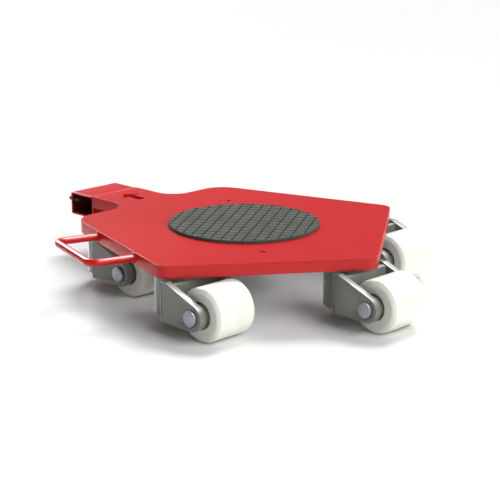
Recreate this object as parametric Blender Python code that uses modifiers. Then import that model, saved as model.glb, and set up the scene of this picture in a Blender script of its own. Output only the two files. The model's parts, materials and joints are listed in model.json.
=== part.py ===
"""Machinery dolly with a pentagonal steel deck, a rubber load pad, five free-swivelling
nylon roller casters, a transverse coupling tube on a tongue, and a carrying handle.

Metres, +Z up, standing on z = 0. The tongue points along +X, the handle is on the +Y side.
Everything is drawn about the centre of the load pad and then hung on one empty, which
places the middle of the whole dolly's footprint at the origin.
"""
import math

import bmesh
import bpy
from mathutils import Vector

# ---------------------------------------------------------------- driving dimensions
MM = 0.001
GAP = 0.3 * MM                      # clearance kept between pieces that touch

PAD_CENTRE = (-21.90 * MM, -17.71 * MM)   # load pad centre, from the footprint's middle

DECK_TOP = 109 * MM
DECK_T = 20 * MM
DECK_INRADIUS = 232 * MM            # centre to the middle of each of the five sides
DECK_CORNER_R = 24 * MM             # the three rear corners
DECK_FRONT_R = 46 * MM              # the two corners beside the tongue
DECK_EDGE = 0.8 * MM                # broken edge all round
TONGUE_HALF = 52.5 * MM
TONGUE_Y = -3.5 * MM                # the tongue sits a little right of the pad's centre line
TONGUE_END = 328 * MM
TONGUE_ROOT_R = 38 * MM
DRAIN_R = 5 * MM                    # two small through holes on one diameter
DRAIN_AT = 171.5 * MM

PAD_R = 125 * MM
PAD_T = 5 * MM

TUBE_X = 60 * MM                    # rectangular coupling tube, its bore runs along Y
TUBE_Z = 40 * MM
TUBE_WALL = 4 * MM
TUBE_LEN = 103.5 * MM
TUBE_Y = -4.2 * MM
TUBE_TOP = DECK_TOP - 1 * MM

SCREW_R = 4 * MM                    # M8 set screws that clamp a bar in the tube
SCREW_LEN = 26 * MM
SCREW_OUT = 11 * MM                 # stands proud of the tube's outer wall at rest
SCREW_Y = 44 * MM                   # to each side of the tube's middle
SCREW_Z = 94 * MM
SOCKET_AF = 4 * MM

HANDLE_R = 6 * MM
HANDLE_HALF = 72.5 * MM
HANDLE_REACH = 305 * MM             # pad centre to the grip's centreline
HANDLE_BEND = 16 * MM
HANDLE_Z = DECK_TOP - 10 * MM

PIVOT_R = 227 * MM                  # pad centre to each kingpin
TRAIL = 86 * MM                     # kingpin to axle
ROLLER_R = 42.5 * MM
ROLLER_HALF = 39.5 * MM
ROLLER_EDGE = 6.5 * MM
SEAT_R = 21.3 * MM
SEAT_DEPTH = 12.8 * MM
ROLLER_BORE = 17 * MM

BEARING_R = 21 * MM
BEARING_W = 12 * MM
AXLE_R = 12.5 * MM
AXLE_HALF = 63 * MM

PLATE_IN = 46.5 * MM                # inner face of each fork side plate
PLATE_T = 12 * MM
PLATE_FRONT = 17.5 * MM             # distances behind the kingpin
PLATE_FRONT_ROUND = 5.5 * MM        # the front edge is rounded over
PLATE_TOP = 86.5 * MM
PLATE_FLAT_END = 31 * MM
PLATE_BOTTOM = 23.5 * MM
NOSE_R = 21 * MM

HUB_R = 38.5 * MM
HUB_BOTTOM = 21 * MM
HUB_TOP = 84.5 * MM
WEB_FRONT = 24 * MM
WEB_REAR = 39.5 * MM
WEB_BOTTOM = 24 * MM
KING_R = 12 * MM
FLANGE_R = 26 * MM
RACE_R = 27 * MM
RACE_H = 8 * MM
NUT_AF = 32 * MM
NUT_H = 11 * MM

CORNERS = {1: 36, 2: 108, 3: 180, 4: 252, 5: 324}   # caster number: degrees from the tongue

# ---------------------------------------------------------------- scene and materials
for old in list(bpy.data.objects):
    bpy.data.objects.remove(old, do_unlink=True)

SCENE = bpy.context.scene
PARTS = bpy.data.collections.new("machinery_dolly")
CUTTERS = bpy.data.collections.new("cutters")
SCENE.collection.children.link(PARTS)
SCENE.collection.children.link(CUTTERS)


def material(name, colour, roughness, metallic):
    mat = bpy.data.materials.new(name)
    mat.use_nodes = True
    shader = mat.node_tree.nodes["Principled BSDF"]
    shader.inputs["Base Color"].default_value = (*colour, 1.0)
    shader.inputs["Roughness"].default_value = roughness
    shader.inputs["Metallic"].default_value = metallic
    mat.diffuse_color = (*colour, 1.0)
    return mat


RED_PAINT = dict(colour=(0.52, 0.012, 0.014), roughness=0.22, metallic=0.0)
RUBBER = dict(colour=(0.085, 0.092, 0.083), roughness=0.75, metallic=0.0)
FORK_STEEL = dict(colour=(0.15, 0.155, 0.14), roughness=0.32, metallic=0.8)
PIN_STEEL = dict(colour=(0.42, 0.42, 0.46), roughness=0.35, metallic=0.9)
BEARING_STEEL = dict(colour=(0.10, 0.10, 0.09), roughness=0.35, metallic=0.8)
NYLON = dict(colour=(0.86, 0.86, 0.80), roughness=0.4, metallic=0.0)


# ---------------------------------------------------------------- building blocks
def empty(name, location, parent=None):
    ob = bpy.data.objects.new(name, None)
    ob.empty_display_size = 0.02
    ob.location = location
    ob.parent = parent
    PARTS.objects.link(ob)
    return ob


def place(name, mesh, look, parent, location=(0, 0, 0), rotation=(0, 0, 0)):
    """One named piece, with its own material, hung on its parent."""
    ob = bpy.data.objects.new(name, mesh)
    PARTS.objects.link(ob)
    ob.parent = parent
    ob.location = location
    ob.rotation_euler = rotation
    ob.data.materials.clear()
    ob.data.materials.append(material(name, **look))
    ob.data.shade_smooth()
    ob.data.set_sharp_from_angle(angle=math.radians(35))
    return ob


def baked(ob):
    """The evaluated mesh of a construction object, welded; the object is removed."""
    graph = bpy.context.evaluated_depsgraph_get()
    graph.update()
    mesh = bpy.data.meshes.new_from_object(ob.evaluated_get(graph))
    bpy.data.objects.remove(ob, do_unlink=True)
    bm = bmesh.new()
    bm.from_mesh(mesh)
    bmesh.ops.remove_doubles(bm, verts=bm.verts, dist=0.00001)
    bm.to_mesh(mesh)
    bm.free()
    mesh.materials.clear()
    return mesh


def helper(name, data):
    """A construction object or cutter, kept out of the finished parts."""
    ob = bpy.data.objects.new(name, data)
    ob.display_type = "WIRE"
    ob.hide_render = True
    CUTTERS.objects.link(ob)
    return ob


def arc(cx, cy, radius, start, end, steps):
    """Points on a circular arc, angles in degrees, both ends included."""
    return [(cx + radius * math.cos(math.radians(start + (end - start) * i / steps)),
             cy + radius * math.sin(math.radians(start + (end - start) * i / steps)))
            for i in range(steps + 1)]


def circle(cx, cy, radius, steps):
    return arc(cx, cy, radius, 0, 360, steps)[:-1]


def rounded(corners, steps=4):
    """A closed outline of (x, y, radius) corners with every corner rounded by an arc."""
    points = []
    for i, (x, y, radius) in enumerate(corners):
        here = Vector((x, y))
        before = (Vector(corners[i - 1][:2]) - here).normalized()
        after = (Vector(corners[(i + 1) % len(corners)][:2]) - here).normalized()
        if radius <= 0:
            points.append((x, y))
            continue
        half = before.angle(after) / 2
        centre = here + (before + after).normalized() * radius / math.sin(half)
        first = here + before * radius / math.tan(half) - centre
        last = here + after * radius / math.tan(half) - centre
        sweep = first.angle_signed(last)
        for k in range(steps + 1):
            turn = -sweep * k / steps
            points.append((centre.x + first.x * math.cos(turn) - first.y * math.sin(turn),
                           centre.y + first.x * math.sin(turn) + first.y * math.cos(turn)))
    return points


def broken_edges(name, mesh, width):
    """A small chamfer along every sharp edge."""
    ob = helper(name, mesh)
    bevel = ob.modifiers.new("broken_edge", "BEVEL")
    bevel.width = width
    bevel.segments = 1
    bevel.limit_method = "ANGLE"
    bevel.angle_limit = math.radians(50)
    return baked(ob)


def flat_shape(name, loops, thickness, edge=0.0):
    """A flat plate from 2D outlines, the first solid and the rest holes, about z = 0."""
    curve = bpy.data.curves.new(name, "CURVE")
    curve.dimensions = "2D"
    curve.fill_mode = "BOTH"
    curve.extrude = thickness / 2
    for loop in loops:
        spline = curve.splines.new("POLY")
        spline.points.add(len(loop) - 1)
        for point, (x, y) in zip(spline.points, loop):
            point.co = (x, y, 0, 1)
        spline.use_cyclic_u = True
    mesh = baked(helper(name, curve))
    return broken_edges(name, mesh, edge) if edge else mesh


def turned(name, profile, steps, closed):
    """A profile of (radius, height) points spun about Z; the outer side runs downwards."""
    mesh = bpy.data.meshes.new(name)
    edges = [(i, i + 1) for i in range(len(profile) - 1)]
    if closed:
        edges.append((len(profile) - 1, 0))
    mesh.from_pydata([(r, 0, z) for r, z in profile], edges, [])
    ob = helper(name, mesh)
    screw = ob.modifiers.new("turn", "SCREW")
    screw.angle = math.tau
    screw.steps = steps
    screw.render_steps = steps
    screw.use_merge_vertices = True
    screw.merge_threshold = 0.00002
    return baked(ob)


def with_boolean(name, mesh, tool_mesh, operation):
    """One mesh cut by, or joined with, another, both about the same origin."""
    ob = helper(name, mesh)
    tool = helper(name + "_tool", tool_mesh)
    step = ob.modifiers.new(operation.lower(), "BOOLEAN")
    step.operation = operation
    step.object = tool
    result = baked(ob)
    bpy.data.objects.remove(tool, do_unlink=True)
    return result


# ---------------------------------------------------------------- deck and its fittings
root = empty("dolly_centre", (*PAD_CENTRE, 0))

vertex_r = DECK_INRADIUS / math.cos(math.radians(36))
tongue_right, tongue_left = TONGUE_Y - TONGUE_HALF, TONGUE_Y + TONGUE_HALF
deck_corners = [(TONGUE_END, tongue_right, 0), (TONGUE_END, tongue_left, 0),
                (DECK_INRADIUS, tongue_left, TONGUE_ROOT_R)]
for number, angle in CORNERS.items():
    deck_corners.append((vertex_r * math.cos(math.radians(angle)),
                         vertex_r * math.sin(math.radians(angle)),
                         DECK_FRONT_R if number in (1, 5) else DECK_CORNER_R))
deck_corners.append((DECK_INRADIUS, tongue_right, TONGUE_ROOT_R))

drain_x = DRAIN_AT * math.cos(math.radians(36))
drain_y = DRAIN_AT * math.sin(math.radians(36))
# a plain arrow cut through the tongue, pointing at the coupling end
ARROW = [(x * MM, y * MM + TONGUE_Y) for x, y in
         ((304, 0), (282, 21), (282, 8), (254, 8), (254, -8), (282, -8), (282, -21))]
deck_mesh = flat_shape("deck_outline",
                       [rounded(deck_corners, 9), ARROW,
                        circle(drain_x, -drain_y, DRAIN_R, 16),
                        circle(-drain_x, drain_y, DRAIN_R, 16)],
                       DECK_T, DECK_EDGE)
place("deck_plate", deck_mesh, RED_PAINT, root, (0, 0, DECK_TOP - DECK_T / 2))

pad_mesh = turned("pad_profile", [(0, PAD_T), (PAD_R - 1 * MM, PAD_T), (PAD_R, PAD_T - 1 * MM),
                                  (PAD_R, 0), (0, 0)], 48, False)
place("load_pad", pad_mesh, RUBBER, root, (0, 0, DECK_TOP + GAP))

# the coupling tube stands across the end of the tongue
outer = rounded([(-TUBE_X / 2, -TUBE_Z / 2, 3 * MM), (TUBE_X / 2, -TUBE_Z / 2, 3 * MM),
                 (TUBE_X / 2, TUBE_Z / 2, 3 * MM), (-TUBE_X / 2, TUBE_Z / 2, 3 * MM)], 3)
in_x, in_z = TUBE_X / 2 - TUBE_WALL, TUBE_Z / 2 - TUBE_WALL
inner = [(-in_x, -in_z), (in_x, -in_z), (in_x, in_z), (-in_x, in_z)]
tube_mesh = flat_shape("tube_section", [outer, inner], TUBE_LEN)
tube_x = TONGUE_END + GAP + TUBE_X / 2
tube_z = TUBE_TOP - TUBE_Z / 2
tube = place("coupling_tube", tube_mesh, RED_PAINT, root, (tube_x, TUBE_Y, tube_z),
             (math.pi / 2, 0, 0))
for side, sign in (("left", 1), ("right", -1)):
    hole = helper("screw_hole_" + side,
                  turned("hole_" + side, [(0, TUBE_WALL), (SCREW_R + GAP, TUBE_WALL),
                                          (SCREW_R + GAP, -TUBE_WALL), (0, -TUBE_WALL)],
                         16, False))
    hole.parent = root
    hole.location = (tube_x + TUBE_X / 2 - TUBE_WALL / 2, TUBE_Y + sign * SCREW_Y, SCREW_Z)
    hole.rotation_euler = (0, math.pi / 2, 0)
    cut = tube.modifiers.new("screw_hole_" + side, "BOOLEAN")
    cut.operation = "DIFFERENCE"
    cut.object = hole

# set screws: a hexagon socket in the outer end, a chamfered point inside the tube
screw_blank = turned("screw_profile",
                     [(0, 0), (SCREW_R - 0.8 * MM, 0), (SCREW_R, -0.8 * MM),
                      (SCREW_R, -SCREW_LEN + 1.5 * MM), (SCREW_R - 1.5 * MM, -SCREW_LEN),
                      (0, -SCREW_LEN)], 16, False)
hexagon = circle(0, 0, SOCKET_AF / 2 / math.cos(math.radians(30)), 6)
socket = flat_shape("socket_key", [hexagon], 8 * MM)
screw_mesh = with_boolean("screw_blank", screw_blank, socket, "DIFFERENCE")
screw_x = tube_x + TUBE_X / 2 + SCREW_OUT
for side, sign in (("left", 1), ("right", -1)):
    place("clamp_screw_" + side, screw_mesh.copy(), PIN_STEEL, root,
          (screw_x, TUBE_Y + sign * SCREW_Y, SCREW_Z), (0, math.pi / 2, 0))

# carrying handle: one bent rod, welded by its ends to the deck's left front side
grip = rounded([(DECK_INRADIUS + GAP, -HANDLE_HALF, 0), (HANDLE_REACH, -HANDLE_HALF, HANDLE_BEND),
                (HANDLE_REACH, HANDLE_HALF, HANDLE_BEND), (DECK_INRADIUS + GAP, HANDLE_HALF, 0)], 5)
rod = bpy.data.curves.new("grip_path", "CURVE")
rod.dimensions = "3D"
rod.bevel_depth = HANDLE_R
rod.bevel_resolution = 4
rod.use_fill_caps = True
path = rod.splines.new("POLY")
path.points.add(len(grip) - 1)
for point, (x, y) in zip(path.points, grip):
    point.co = (x, y, 0, 1)
place("carry_handle", baked(helper("grip", rod)), RED_PAINT, root, (0, 0, HANDLE_Z),
      (0, 0, math.radians(72)))

# ---------------------------------------------------------------- one caster's meshes
# fork side plate, drawn as (distance behind the kingpin, height above the floor)
slope_from = Vector((PLATE_FLAT_END, PLATE_TOP))
nose = Vector((TRAIL, ROLLER_R))


def tangent_angle(corner, upper):
    """Angle on the nose circle where the straight edge from a corner touches it."""
    reach = corner - nose
    base = math.degrees(math.atan2(reach.y, reach.x))
    lean = math.degrees(math.acos(NOSE_R / reach.length))
    return base - lean if upper else base + lean


top_angle = tangent_angle(slope_from, True)
low_angle = tangent_angle(Vector((PLATE_FRONT, PLATE_BOTTOM)), False)
plate_outline = [(PLATE_FRONT, PLATE_TOP), (PLATE_FRONT, PLATE_BOTTOM)]
plate_outline += arc(nose.x, nose.y, NOSE_R, low_angle % 360 - 360, top_angle % 360, 9)
plate_outline += [tuple(slope_from)]
plate_mesh = flat_shape("plate_outline",
                        [plate_outline, circle(nose.x, nose.y, AXLE_R + GAP, 16)], PLATE_T)
bm = bmesh.new()
bm.from_mesh(plate_mesh)
front_edges = [edge for edge in bm.edges
               if all(abs(v.co.x - PLATE_FRONT) < GAP for v in edge.verts)
               and abs(edge.verts[0].co.y - edge.verts[1].co.y) > MM]
bmesh.ops.bevel(bm, geom=front_edges, offset=PLATE_FRONT_ROUND, segments=3, profile=0.5,
                affect="EDGES", clamp_overlap=True)
bm.to_mesh(plate_mesh)
bm.free()

# hub with its stepped bore, and the web that joins it to both side plates
race_floor = HUB_TOP - RACE_H - GAP
nut_roof = HUB_BOTTOM + NUT_H + 4 * MM
hub_ring = turned("hub_profile",
                  [(RACE_R + GAP, HUB_TOP), (HUB_R - 1 * MM, HUB_TOP), (HUB_R, HUB_TOP - 1 * MM),
                   (HUB_R, HUB_BOTTOM + 1.5 * MM), (HUB_R - 1.5 * MM, HUB_BOTTOM),
                   (22 * MM, HUB_BOTTOM), (22 * MM, nut_roof), (KING_R + 0.5 * MM, nut_roof),
                   (KING_R + 0.5 * MM, race_floor), (RACE_R + GAP, race_floor)], 24, True)
web_edge = PLATE_IN - GAP
web = [(-WEB_FRONT, web_edge), (-WEB_REAR, web_edge), (-WEB_REAR, -web_edge),
       (-WEB_FRONT, -web_edge)]
web += arc(0, 0, 33 * MM, 224, 136, 6)
web_mesh = flat_shape("web_outline", [web], HUB_TOP - 1 * MM - WEB_BOTTOM)
for vertex in web_mesh.vertices:
    vertex.co.z += (HUB_TOP - 1 * MM + WEB_BOTTOM) / 2
hub_mesh = with_boolean("hub_ring", hub_ring, web_mesh, "UNION")

king_mesh = turned("king_profile",
                   [(0, DECK_TOP - DECK_T - GAP), (FLANGE_R, DECK_TOP - DECK_T - GAP),
                    (FLANGE_R, HUB_TOP + GAP), (KING_R, HUB_TOP + GAP),
                    (KING_R, HUB_BOTTOM + 2 * MM), (KING_R - 1 * MM, HUB_BOTTOM + 1 * MM),
                    (0, HUB_BOTTOM + 1 * MM)], 12, False)
race_mesh = turned("race_profile",
                   [(KING_R + GAP, HUB_TOP), (RACE_R - 1 * MM, HUB_TOP),
                    (RACE_R, HUB_TOP - 1 * MM), (RACE_R, HUB_TOP - RACE_H),
                    (KING_R + GAP, HUB_TOP - RACE_H)], 16, True)
nut_mesh = flat_shape("nut_outline",
                      [circle(0, 0, NUT_AF / 2 / math.cos(math.radians(30)), 6),
                       circle(0, 0, KING_R + 2 * GAP, 12)], NUT_H)
axle_mesh = turned("axle_profile",
                   [(0, AXLE_HALF), (AXLE_R - 1.2 * MM, AXLE_HALF), (AXLE_R, AXLE_HALF - 1.2 * MM),
                    (AXLE_R, -AXLE_HALF + 1.2 * MM), (AXLE_R - 1.2 * MM, -AXLE_HALF),
                    (0, -AXLE_HALF)], 16, False)
flat_r = ROLLER_R - ROLLER_EDGE
flat_h = ROLLER_HALF - ROLLER_EDGE
roller_side = arc(flat_r, flat_h, ROLLER_EDGE, 90, 0, 2)
roller_side += [(r, -h) for r, h in reversed(roller_side)]
shoulder = ROLLER_HALF - SEAT_DEPTH
roller_mesh = turned("roller_profile",
                     [(SEAT_R, ROLLER_HALF)] + roller_side
                     + [(SEAT_R, -ROLLER_HALF), (SEAT_R, -shoulder), (ROLLER_BORE, -shoulder),
                        (ROLLER_BORE, shoulder), (SEAT_R, shoulder)], 28, True)
# sealed ball bearing, its inner ring drawn out to the side plate as the axle's spacer
bearing_out = ROLLER_HALF - 0.5 * MM
ring_end = PLATE_IN - GAP
bearing_mesh = turned("bearing_profile",
                      [(AXLE_R + GAP, ring_end), (16 * MM, ring_end),
                       (16 * MM, bearing_out), (BEARING_R, bearing_out),
                       (BEARING_R, bearing_out - BEARING_W),
                       (AXLE_R + GAP, bearing_out - BEARING_W)], 18, True)

# ---------------------------------------------------------------- five casters
for number, angle in CORNERS.items():
    tag = "caster%d_" % number
    pivot = (PIVOT_R * math.cos(math.radians(angle)), PIVOT_R * math.sin(math.radians(angle)), 0)
    swivel = empty(tag + "swivel_axis", pivot, root)
    axis = empty(tag + "axle_axis", (-TRAIL, 0, ROLLER_R), swivel)

    place(tag + "kingpin", king_mesh.copy(), PIN_STEEL, swivel)
    place(tag + "thrust_bearing", race_mesh.copy(), BEARING_STEEL, swivel)
    place(tag + "kingpin_nut", nut_mesh.copy(), PIN_STEEL, swivel,
          (0, 0, nut_roof - GAP - NUT_H / 2))
    place(tag + "fork_hub", hub_mesh.copy(), FORK_STEEL, swivel)
    for side, sign in (("left", 1), ("right", -1)):
        place(tag + "fork_plate_" + side, plate_mesh.copy(), FORK_STEEL, swivel,
              (0, sign * (PLATE_IN + PLATE_T / 2), 0), (math.pi / 2, 0, math.pi))
        place(tag + "bearing_" + side, bearing_mesh.copy(), BEARING_STEEL, axis,
              (0, 0, 0), (-sign * math.pi / 2, 0, 0))
    place(tag + "axle", axle_mesh.copy(), PIN_STEEL, axis, (0, 0, 0), (math.pi / 2, 0, 0))
    place(tag + "roller", roller_mesh.copy(), NYLON, axis, (0, 0, 0), (math.pi / 2, 0, 0))
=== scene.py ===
# %% [markdown]
# # A machinery dolly, dressed for the studio
# The dolly is a thick steel deck on five trailing swivel casters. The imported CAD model
# gives the position and the size of everything, so this lesson starts by loading it and
# reads every place from it. What the CAD pieces lack is surface: turned parts are
# faceted, edges are knife sharp and nothing has a finish yet. Each chapter below
# replaces or repaints one kind of piece.

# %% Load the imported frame
import json
import math

import bpy
import numpy as np
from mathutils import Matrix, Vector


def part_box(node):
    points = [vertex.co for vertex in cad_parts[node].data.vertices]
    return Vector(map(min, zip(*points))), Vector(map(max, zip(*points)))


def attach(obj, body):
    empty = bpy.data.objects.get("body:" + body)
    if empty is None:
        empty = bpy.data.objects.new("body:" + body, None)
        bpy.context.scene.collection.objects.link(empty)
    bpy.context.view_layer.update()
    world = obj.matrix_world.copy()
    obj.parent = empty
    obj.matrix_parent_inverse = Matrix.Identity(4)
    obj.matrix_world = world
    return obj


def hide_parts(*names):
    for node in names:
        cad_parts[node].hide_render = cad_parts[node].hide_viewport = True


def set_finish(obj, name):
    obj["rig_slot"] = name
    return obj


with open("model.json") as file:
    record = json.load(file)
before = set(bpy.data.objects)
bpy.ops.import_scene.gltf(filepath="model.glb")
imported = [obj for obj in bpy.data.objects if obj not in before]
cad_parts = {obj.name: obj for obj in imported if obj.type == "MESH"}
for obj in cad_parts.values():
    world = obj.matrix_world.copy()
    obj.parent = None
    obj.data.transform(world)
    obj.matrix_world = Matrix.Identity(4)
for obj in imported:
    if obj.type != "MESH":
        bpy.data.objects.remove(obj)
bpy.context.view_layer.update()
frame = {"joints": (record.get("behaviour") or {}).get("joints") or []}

MM = 0.001
joints = {joint["name"]: joint for joint in frame["joints"]}
casters = [1, 2, 3, 4, 5]

# %% [markdown]
# ## Where things are
# The deck's top, the load pad's centre and the kingpins are the three things every other
# measure hangs on. They come from the nodes' boxes and from the joints, never typed in,
# so the dressing stays in step with the CAD.

# %% Key positions, read from the CAD
def node_box(name):
    """Lowest and highest corner of a CAD node as two numpy rows."""
    low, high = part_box(name)
    return np.array(low, float), np.array(high, float)


pad_low, pad_high = node_box("load_pad")
pad_centre = (pad_low + pad_high) / 2
pad_radius = (pad_high[0] - pad_low[0]) / 2
deck_low, deck_high = node_box("deck_plate")
deck_top, deck_under = deck_high[2], deck_low[2]
pivots = {n: np.array(joints["caster%d_swivel" % n]["pos_m"], float) for n in casters}
axles = {n: np.array(joints["caster%d_roll" % n]["pos_m"], float) for n in casters}
print("pad centre", pad_centre.round(4), "radius", round(pad_radius, 4), "deck top", round(deck_top, 4))

# %% [markdown]
# ## Surfaces from arrays
# A surface of two parameters is a table of points: one row per step of the first
# parameter and one column per step of the second. Neighbours in the table are joined by
# four-sided faces. If a parameter comes back to its start, such as the angle round a
# wheel, the last row or column is joined to the first and the seam closes by itself.

# %% Faces for a table of points
def grid_faces(rows, columns, wrap_rows=False, wrap_columns=False):
    """Quads between neighbouring points of a table whose point (i, j) has the number
    i * columns + j. A wrapped direction also joins its last line to its first."""
    i = np.arange(rows if wrap_rows else rows - 1)[:, None]
    j = np.arange(columns if wrap_columns else columns - 1)[None, :]
    i2, j2 = (i + 1) % rows, (j + 1) % columns
    quads = np.stack([i * columns + j, i * columns + j2, i2 * columns + j2, i2 * columns + j], -1)
    return quads.reshape(-1, 4)


def signed_volume(points, face_sets):
    """Sum over the triangles of the tetrahedra they make with the middle point: positive
    when the faces of a closed surface point outwards."""
    p, total = points - points.mean(0), 0.0
    for faces in face_sets:
        for k in range(1, faces.shape[1] - 1):
            total += np.einsum("ij,ij->", p[faces[:, 0]], np.cross(p[faces[:, k]], p[faces[:, k + 1]]))
    return total / 6


print("a 3 by 4 table wrapped both ways has", len(grid_faces(3, 4, True, True)), "faces")

# %% [markdown]
# ## From arrays to a piece
# Every new piece is finished the same way: the faces are turned outwards if they are
# not, the mesh is shaded smooth except over sharp corners, the piece is told which
# body it rides on and which finish it takes, and the CAD nodes it stands for are hidden.
# Finished pieces gather in one list, so that the last chapters can dress them all.

# %% Make one piece out of points and faces
made = []


def make_piece(name, points, face_sets, body, slot, replaces=(), crease=38, attributes=None):
    """A closed mesh from an (n, 3) array and one or more arrays of faces. Corners sharper
    than crease degrees stay sharp; attributes are numbers stored at the points."""
    points = np.asarray(points, float).reshape(-1, 3)
    face_sets = [np.asarray(f) for f in face_sets if len(f)]
    if signed_volume(points, face_sets) < 0:
        face_sets = [f[:, ::-1] for f in face_sets]
    mesh = bpy.data.meshes.new(name)
    mesh.from_pydata(points.tolist(), [], [row for f in face_sets for row in f.tolist()])
    mesh.shade_smooth()
    mesh.set_sharp_from_angle(angle=math.radians(crease))
    for key, values in (attributes or {}).items():
        layer = mesh.attributes.new(key, "FLOAT", "POINT")
        layer.data.foreach_set("value", np.asarray(values, np.float32).ravel())
    piece = bpy.data.objects.new(name, mesh)
    bpy.context.scene.collection.objects.link(piece)
    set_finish(piece, slot)
    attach(piece, body)
    if replaces:
        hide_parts(*replaces)
    made.append(piece)


print("pieces so far", len(made))

# %% [markdown]
# ## Rounded outlines
# A machined or cast edge is never perfectly sharp, and it is the small round along an
# edge that catches the light. So a section is drawn as a list of corners, each with its
# own radius, and every corner is swapped for a short arc.

# %% A polygon with rounded corners
def rounded_line(corners, steps=5, closed=False):
    """Corners are (x, y, radius). A corner of radius r becomes an arc that touches both
    of its sides: its centre lies on the bisector at r / sin(half angle)."""
    corners = [tuple(c) + (0,) * (3 - len(c)) for c in corners]
    out = []
    for k, (x, y, r) in enumerate(corners):
        here = np.array([x, y], float)
        if r <= 0 or (not closed and k in (0, len(corners) - 1)):
            out.append(here[None])
            continue
        a = np.array(corners[k - 1][:2]) - here
        b = np.array(corners[(k + 1) % len(corners)][:2]) - here
        a, b = a / np.linalg.norm(a), b / np.linalg.norm(b)
        half = math.acos(np.clip(a @ b, -1, 1)) / 2
        middle = here + (a + b) / np.linalg.norm(a + b) * r / math.sin(half)
        p, q = here + a * r / math.tan(half) - middle, here + b * r / math.tan(half) - middle
        turn = math.atan2(p[0] * q[1] - p[1] * q[0], p @ q)
        t = np.linspace(0, turn, steps + 1)
        out.append(np.stack([middle[0] + p[0] * np.cos(t) - p[1] * np.sin(t),
                             middle[1] + p[0] * np.sin(t) + p[1] * np.cos(t)], 1))
    return np.concatenate(out)


square = rounded_line([(0, 0, 1), (9, 0, 1), (9, 9, 1), (0, 9, 1)], closed=True)
print("a square with four rounded corners has", len(square), "points")

# %% [markdown]
# ## Turned parts
# Rollers, bearings, pins and hubs are all turned on a lathe: a profile of radius and
# height is carried round an axis. A profile that starts and ends on the axis is solid;
# one that comes back to its own start is a ring. Two numbers are stored at each point
# for the finishes to read later: the distance from the axis and the distance along it.

# %% Carry a profile round an axis
def turned_piece(name, profile, centre, axis, body, slot, replaces=(), steps=72, crease=38):
    """Point (i, j) is the i-th profile point turned by j / steps of a full turn. The
    axis is "Y" or "Z"; a profile end on the axis becomes a single pole point."""
    profile = np.asarray(profile, float)
    poles = [k for k in (0, -1) if profile[k, 0] < 1e-9]
    body_rows = profile[(0 in poles):(-1 if -1 in poles else None)]
    turn = np.arange(steps) / steps * math.tau
    r, h = body_rows[:, :1], body_rows[:, 1:]
    u, v, w = r * np.cos(turn), r * np.sin(turn), h + 0 * turn
    table = np.stack([u, v, w] if axis == "Z" else [v, w, u], -1)
    points = table.reshape(-1, 3)
    radius, along = np.repeat(body_rows[:, 0], steps), np.repeat(body_rows[:, 1], steps)
    faces = [grid_faces(len(body_rows), steps, wrap_rows=not poles, wrap_columns=True)]
    for k in poles:
        row = 0 if k == 0 else len(body_rows) - 1
        j = np.arange(steps)
        tip = np.array([[0, 0, profile[k, 1]] if axis == "Z" else [0, profile[k, 1], 0]])
        near, far = j + row * steps, (j + 1) % steps + row * steps
        pole = np.full(steps, len(points))
        faces.append(np.stack([far, near, pole] if k == 0 else [near, far, pole], -1))
        points = np.concatenate([points, tip])
        radius, along = np.append(radius, 0.0), np.append(along, profile[k, 1])
    make_piece(name, points + centre, faces, body, slot, replaces, crease,
               {"radius": radius, "along": along})


print("turned surfaces store the distance from the axis and the distance along it")

# %% [markdown]
# ## Rollers
# Each roller is a barrel of cast nylon, bored out at both ends for a ball bearing. The
# running face is flat. Each shoulder is a bulging arc that meets both the running face
# and the end face at a slight angle, which leaves two crisp turned edges. Short flats
# beside these edges keep the smooth shading from washing them out.

# %% Five nylon rollers
roller_low, roller_high = node_box("caster1_roller")
roller_r = (roller_high[2] - roller_low[2]) / 2
roller_half = (roller_high[1] - roller_low[1]) / 2
seat_r, seat_deep, bore_r = 21.25 * MM, 12.8 * MM, 17 * MM
shoulder_r, shoulder_in, bulge, flat = 35.3 * MM, 5.2 * MM, 0.75 * MM, 0.3 * MM
groove_in, groove_out, groove_deep = 25.6 * MM, 26.9 * MM, 0.3 * MM


def bulged(start, end, sagitta, steps=12):
    """An arc between two points: the chord plus sagitta * (1 - (2 t - 1) ^ 2) across it."""
    start, end = np.array(start), np.array(end)
    t = np.linspace(0, 1, steps + 1)[:, None]
    chord = end - start
    across = np.array([-chord[1], chord[0]]) / np.linalg.norm(chord)
    return start + t * chord + sagitta * (1 - (2 * t - 1) ** 2) * across


shoulder = bulged((shoulder_r, roller_half), (roller_r, roller_half - shoulder_in), bulge)
half_profile = np.concatenate([
    [(seat_r, roller_half - 0.6 * MM), (seat_r + 0.6 * MM, roller_half),
     (groove_in, roller_half), (groove_in + groove_deep, roller_half - groove_deep),
     (groove_out - groove_deep, roller_half - groove_deep), (groove_out, roller_half),
     (shoulder_r - flat, roller_half)], shoulder, [(roller_r, roller_half - shoulder_in - flat)]])
roller_profile = np.concatenate([
    half_profile, half_profile[::-1] * [1, -1],
    [(seat_r, -roller_half + seat_deep), (bore_r, -roller_half + seat_deep),
     (bore_r, roller_half - seat_deep), (seat_r, roller_half - seat_deep)]])
for n in casters:
    turned_piece("roller_%d" % n, roller_profile, axles[n], "Y", "caster%d_wheel" % n, "nylon",
                 ["caster%d_roller" % n], 96)
print("roller radius", round(roller_r, 4), "half width", round(roller_half, 4))

# %% [markdown]
# ## Sealed bearings
# A ball bearing sits in each end of a roller. What shows of it is the edge of its outer
# ring and a grooved steel spacer in front of it, drawn out to the side plate so that it
# keeps the roller central on its axle and keeps dirt out.

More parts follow.
